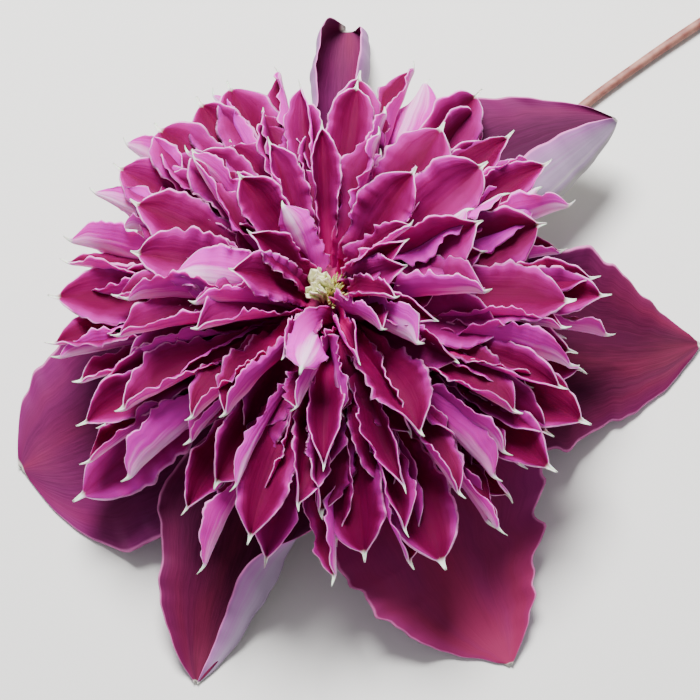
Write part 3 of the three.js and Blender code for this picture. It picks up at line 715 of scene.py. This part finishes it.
def sepal_tree(finish):
    """The tree that grows one sepal, from its sizes."""
    sizes = {name: 0.0 for name in SEPAL_SIZES}
    sizes.update(Thickness=SEPAL_THICKNESS, Number=0.0)
    tree, given, result = new_tree("sepal", Across=81, Along=96, **sizes)
    size = {name: Value(tree, given.outputs[name]) for name in sizes}
    shape = blank(tree, given.outputs["Across"], given.outputs["Along"])
    u, v, h = (read(tree, name) for name in "uvh")
    side, edge, number = u.math("SIGN"), u.size(), size["Number"]
    azimuth = size["Azimuth"] + (size["Tip_azimuth"] - size["Azimuth"]) * v * v

    # The middle line is a Bezier curve from the receptacle to the tip, with its direction
    root = size["Row"] * SEPAL_ROW + SEPAL_FOOT
    reach = size["Reach"]
    route_out = (RECEPTACLE_RADIUS + SEAT_GAP, reach * 0.42, reach * 0.72, reach)
    third_up = size["Tip_height"] * 0.38 + 2 + size["Row"] * 0.6
    route_up = (root, root + 1.4, third_up, size["Tip_height"])
    left = 1 - v
    weights = (left**3, left * left * v * 3, left * v * v * 3, v**3)
    speeds = (left * left * -3, left * left * 3 - left * v * 6, left * v * 6 - v * v * 3, v * v * 3)

    def summed(shares, route):
        return sum((share * place for share, place in zip(shares, route)), start=v * 0)

    out, rise = summed(weights, route_out), summed(weights, route_up)
    along, climb = summed(speeds, route_out), summed(speeds, route_up)
    speed = (along * along + climb * climb).math("SQRT")
    along, climb = along / speed, climb / speed

    # The half width: spoon-shaped from the claw, with a tip more or less blunt and a lobed margin
    widest = size["Widest"]
    past = ((v - widest) / (1 - widest)).clamp()
    spoon = 0.1 + 0.9 * ((v / widest).least(1) * (math.pi / 2)).sin().most(0.0) ** 1.25
    tip = (1 - past ** size["Blunt"]).most(0.012) ** 0.8
    lobed = 0.45 * wander(tree, v * 5, number * 3.1 + side)
    lobed = lobed + 0.2 * wander(tree, v * 14, number - side)
    lobed = 1 + lobed * size["Ruffle"] * (v * 2).clamp()
    half = size["Width"] / 2 * spoon.least(tip) * lobed

    # Across: a curl, and for the folded sides a sharp turn between two curls
    on_left = side * 0.5 + 0.5
    curl = size["Curl_right"] + (size["Curl_left"] - size["Curl_right"]) * on_left
    curl = curl * ((v - 0.15) / 0.5).smooth()
    fold = size["Fold_right"] + (size["Fold_left"] - size["Fold_right"]) * on_left
    fold = fold * ((v - 0.3) / 0.4).smooth()
    sideways, lift, angle = v * 0, v * 0, v * 0
    fold_at = size["Fold_at"]
    parts = ((0, fold_at, 0), (fold_at, FOLD_SPAN, fold / FOLD_SPAN), (fold_at + FOLD_SPAN, 1, 0))
    for begun, span, folding in parts:
        rate = (curl + folding).most(0.01)
        reached = angle + rate * (edge - begun).most(0).least(span)
        sideways = sideways + (reached.sin() - angle.sin()) / rate
        lift = lift + (angle.cos() - reached.cos()) / rate
        angle = reached

    # Waves, a crisp margin, the ribs, shallow folds and the thickness
    wave = 1.9 * u * u * (9 * v + 2.2 * u + 1.7 * number).sin() * (v * 1.6).smooth()
    crisp = edge**6 * 1.3 * wander(tree, v * 14, number * 4.3 + 2.1 * side) * (v * 2).clamp()
    rib = -0.35 * (1 - (edge / 0.035) ** 2).most(0) - 0.22 * (1 - ((edge - 0.33) / 0.04) ** 2).most(0)
    folds = 1.1 * wander(tree, u * 2.6, v * 1.8 + number * 2.7)
    fading = (v * 5).clamp() * (1 - v)
    thickness = size["Thickness"]
    raised = half * lift + wave + crisp + rib * fading + folds * fading
    raised = raised + angle.cos() * h * thickness / 2
    sideways = side * half * sideways - side * angle.sin() * h * thickness / 2

    x, y = round_axis(out - raised * climb, sideways, azimuth)

    # What would go into the board is held just above it
    board_clear = (h + 1) * thickness / 2 + 0.02
    above_board = rise + raised * along - board_clear
    z = (board_clear + (above_board + (above_board * above_board + 2).math("SQRT")) / 2) * MM
    placed = move(tree, shape, x, y, z)
    # The upper face's painted light and shade, and how red it is, go on to the finish
    placed = store(tree, store(tree, placed, "light", size["Light"]), "red", size["Red"])
    hand_over(tree, placed, finish, result)
    return tree


# WINE_DARK and PURPLE_DARK are shaded copies of WINE and PURPLE. Between them lie the sepals' painted
# light and shade as well as their real mottling
WINE_DARK = (0.050, 0.0005, 0.014)
WINE = (0.26, 0.018, 0.082)
PURPLE_DARK = (0.060, 0.001, 0.034)
PURPLE = (0.26, 0.02, 0.17)
GREY_LAVENDER = (0.30, 0.22, 0.33)
LAVENDER = (0.33, 0.09, 0.33)
GREEN_GREY = (0.50, 0.54, 0.42)
sepal_finish, sepal_shader = principled("sepal_leather", roughness=0.65, specular=0.12)
tree = sepal_finish.node_tree
u, v, h, light, red = (attribute(tree, name) for name in ("u", "v", "h", "light", "red"))
edge = u.size()
fibres = streaks(tree, u * 20, v * 2.2)
clouds = streaks(tree, u * 1.7, v * 2.2)
grain = streaks(tree, u * 60, v * 16)
# Painted light and shade: each sepal's own painted light, and darker toward the root, where the head
# shades the sepal. With them come the real fibres, grain and mottled clouds, and a little paler colour at
# the margins
shade = light + (fibres - 0.5) * 0.16 + (grain - 0.5) * 0.3 + (clouds - 0.5) * 0.7
shade = (shade + (v - 0.75) * 0.35 + edge**4 * 0.2).clamp()
wine, purple = blend(tree, shade, WINE_DARK, WINE), blend(tree, shade, PURPLE_DARK, PURPLE)
ruddy = (red * 1.3 + (clouds - 0.5) * 1.4 - edge * edge * 0.6 + (v - 0.7) * 0.8).clamp()
above = blend(tree, ruddy, purple, wine)
bar = ((0.55 - edge) * 3 + (fibres - 0.5) * 1.2).clamp()
beneath = blend(tree, ((edge - 0.68) * 3 + (fibres - 0.5)).clamp(), GREY_LAVENDER, LAVENDER)
beneath = blend(tree, bar, beneath, GREEN_GREY)
leather = blend(tree, (h * 60 + 0.5).clamp(), beneath, above)
leather = blend(tree, ((edge - 0.96) / 0.035).smooth() * 0.6, leather, PALE_PINK)
leather = blend(tree, ((v - 0.99) / 0.008).smooth(), leather, CREAM)
tree.links.new(leather, sepal_shader.inputs["Base Color"])
add_bump(tree, sepal_shader, fibres, strength=0.15, distance=0.0005)

sepal_growth = sepal_tree(sepal_finish)
for number, (place, row) in enumerate(SEPALS.items()):
    sizes = {name: float(value) for name, value in zip(SEPAL_SIZES, row)}
    sizes.update({name: math.radians(sizes[name]) for name in TURNS})
    seed = point_mesh("leaf_" + place, [{"number": number}])
    piece = grown("leaf_" + place, seed, sepal_growth, Number=float(number), **sizes)
    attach(piece, "root")
    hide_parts("sepal_" + place)

# Stalk. A thin, slightly ribbed, pink-brown stem that leaves the receptacle, a small button under the
# head, bends down to the surface and lies along it to its cut end.
STALK_RADIUS = 0.9
STALK_SIDES = 24
STALK_STEPS = 12  # from one point of its route to the next
BUTTON_SIDES = 40
LYING = STALK_RADIUS + 0.1  # the height of its middle where it lies
STALK_ROUTE = [
    (0, 0, BASE_HEIGHT - 5.5), (0.4, 0.2, BASE_HEIGHT - 7.5), (2.4, 2.2, 5.2), (7.5, 7.6, 1.9),
    (15, 16, LYING), (28, 31.5, LYING), (42.5, 46.4, LYING), (54.5, 55.8, LYING), (65.5, 63.6, LYING),
    (73, 68.6, LYING),
]


def curve_through(route, steps):
    """Points of the centripetal Catmull-Rom curve through a route."""
    spots = [Vector(point) for point in route]
    spots = [2 * spots[0] - spots[1], *spots, 2 * spots[-1] - spots[-2]]
    found = []
    for a, b, c, d in zip(spots, spots[1:], spots[2:], spots[3:]):
        first = math.sqrt((b - a).length)
        second = first + math.sqrt((c - b).length)
        third = second + math.sqrt((d - c).length)
        for step in range(steps):
            t = mix(first, second, step / steps)
            ab, bc = a.lerp(b, t / first), b.lerp(c, (t - first) / (second - first))
            cd = c.lerp(d, (t - second) / (third - second))
            abc, bcd = ab.lerp(bc, t / second), bc.lerp(cd, (t - first) / (third - first))
            found.append(abc.lerp(bcd, (t - first) / (second - first)))
    return found + [spots[-2]]


def tube_rings(points, radius_at, sides):
    """Rings square to a route, without twist; radius_at gives the radius from an angle and a share."""
    rings = []
    side = Vector((1, -1, 0)).normalized()
    for index, point in enumerate(points):
        ahead = points[min(index + 1, len(points) - 1)] - points[max(index - 1, 0)]
        ahead.normalize()
        side = (side - ahead * side.dot(ahead)).normalized()
        other = ahead.cross(side)
        share = index / (len(points) - 1)
        ring = []
        for number in range(sides):
            angle = 2 * math.pi * number / sides
            outward = side * math.cos(angle) + other * math.sin(angle)
            ring.append(point + outward * radius_at(angle, share))
        rings.append(ring)
    return rings


def ribbed(angle, share):
    """The stalk's radius, with six shallow ribs and slight swellings."""
    return STALK_RADIUS * (0.965 + 0.035 * math.cos(6 * angle)) * (1 + 0.03 * math.sin(31 * share))


stalk_finish, stalk_shader = principled("stalk_skin", roughness=0.55, specular=0.4)
tree = stalk_finish.node_tree
mottle = noise(tree, tree.nodes.new("ShaderNodeTexCoord").outputs["Object"], scale=420, detail=3)
skin = blend(tree, ((mottle - 0.35) * 2.4).clamp(), (0.20, 0.055, 0.045), (0.42, 0.20, 0.15))
tree.links.new(skin, stalk_shader.inputs["Base Color"])

# The receptacle's radii, and how far below the head's foot they are
BUTTON = [(0.4, 6.2), (1.5, 6.0), (3.4, 5.1), (4.6, 4.3), (4.6, 0.5), (4.1, 0)]
button_profile = [(radius, BASE_HEIGHT - below) for radius, below in BUTTON]
button_points, button_faces = rings_mesh(turned_rings(button_profile, BUTTON_SIDES))
stem_route = curve_through(STALK_ROUTE, STALK_STEPS)
stem_points, stem_faces = rings_mesh(tube_rings(stem_route, ribbed, STALK_SIDES))
shift = len(button_points)
all_faces = button_faces + [tuple(corner + shift for corner in face) for face in stem_faces]
stalk = mesh_piece("stem", button_points + stem_points, all_faces, stalk_finish)
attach(stalk, "root")
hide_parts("stalk")

# Tuft. A few true stamens, flat cream filaments with ragged ends, stand round a bunch of yellow-green
# styles with darker tips, on top of the head's middle.
TUFT_FOOT = BASE_HEIGHT + CORE_HEIGHT + 2 * SEAT_GAP
TUFT_THICKNESS = 0.3
STAMEN_COUNT = 13
STYLE_COUNT = 40
FIRST_STYLE = 40  # the styles are numbered apart from the stamens, so that their draws differ
TUFT_SPAN = 150  # degrees that the stamens and the styles take up round the middle
STAMENS_FROM = 80
STYLES_FROM = -85
GOLDEN_SHARE = 0.618  # of the span, from one to the next


def filament(number, azimuth, root_out, tip_out, height, width, crease):
    """The numbers of a filament, grown as a very narrow petal."""
    bend = math.radians(14 + spread(number, 2, 14))
    out, rise = tip_out - root_out, height * (1 + spread(number, 4, 0.12))
    return {
        "azimuth": math.radians(azimuth + spread(number, 3, 14)),
        "root_out": root_out,
        "root_up": TUFT_FOOT + SEAT_GAP,
        "start": math.atan2(out, rise) - bend / 2,
        "bend": bend,
        "length": math.hypot(out, rise),
        "half": width / 2 * (1 + spread(number, 5, 0.2)),
        "claw": 0.5,
        "cup": math.radians(20),
        "skew": 0.0,
        "crease": math.radians(crease),
        "roll": math.radians(spread(number, 7, 40)),
        "twist": math.radians(spread(number, 8, 40)),
        "sway": spread(number, 9, 0.8),
        "ripple": 0.05,
        "blunt": 2.2,
        "phase": 6 * draw(number, 11),
        "tone": draw(number, 12),
        "number": number,
    }


def tuft_piece(name, node, rows, finish):
    growth = petals_tree(finish)
    piece = grown(name, point_mesh(name, rows), growth, Across=9, Along=18, Thickness=TUFT_THICKNESS)
    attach(piece, "root")
    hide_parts(node)


def tuft_finish(name, low, high, tip):
    """A soft finish whose colour changes from root to tip."""
    made, shader = principled(name, roughness=0.5, specular=0.4)
    tree = made.node_tree
    v = attribute(tree, "v")
    color = blend(tree, (v * 1.5).clamp(), low, high)
    tree.links.new(blend(tree, ((v - 0.86) / 0.1).smooth(), color, tip), shader.inputs["Base Color"])
    return made


stamens = []
for n in range(STAMEN_COUNT):
    share = (n + 0.5) / STAMEN_COUNT
    around = STAMENS_FROM + TUFT_SPAN * (n * GOLDEN_SHARE % 1)
    root_out, tip_out, height = mix(0.4, 1.8, share), mix(0.8, 4.4, share), 6.6 - 1.4 * share
    stamens.append(filament(n, around, root_out, tip_out, height, width=2.6, crease=16))
styles = []
for n in range(STYLE_COUNT):
    share = (n + 0.5) / STYLE_COUNT
    around = STYLES_FROM + TUFT_SPAN * (n * GOLDEN_SHARE % 1)
    root_out, tip_out, height = mix(0.3, 1.8, share), mix(0.5, 4.4, share), 6 - 1.2 * share
    styles.append(filament(n + FIRST_STYLE, around, root_out, tip_out, height, width=0.6, crease=40))
cream_finish = tuft_finish("filament_cream", (0.74, 0.80, 0.30), (0.92, 0.93, 0.60), (0.95, 0.88, 0.70))
style_finish = tuft_finish("style_green", (0.52, 0.60, 0.16), (0.84, 0.86, 0.34), (0.50, 0.44, 0.20))
tuft_piece("filaments", "stamens", stamens, cream_finish)
tuft_piece("bristles", "styles", styles, style_finish)
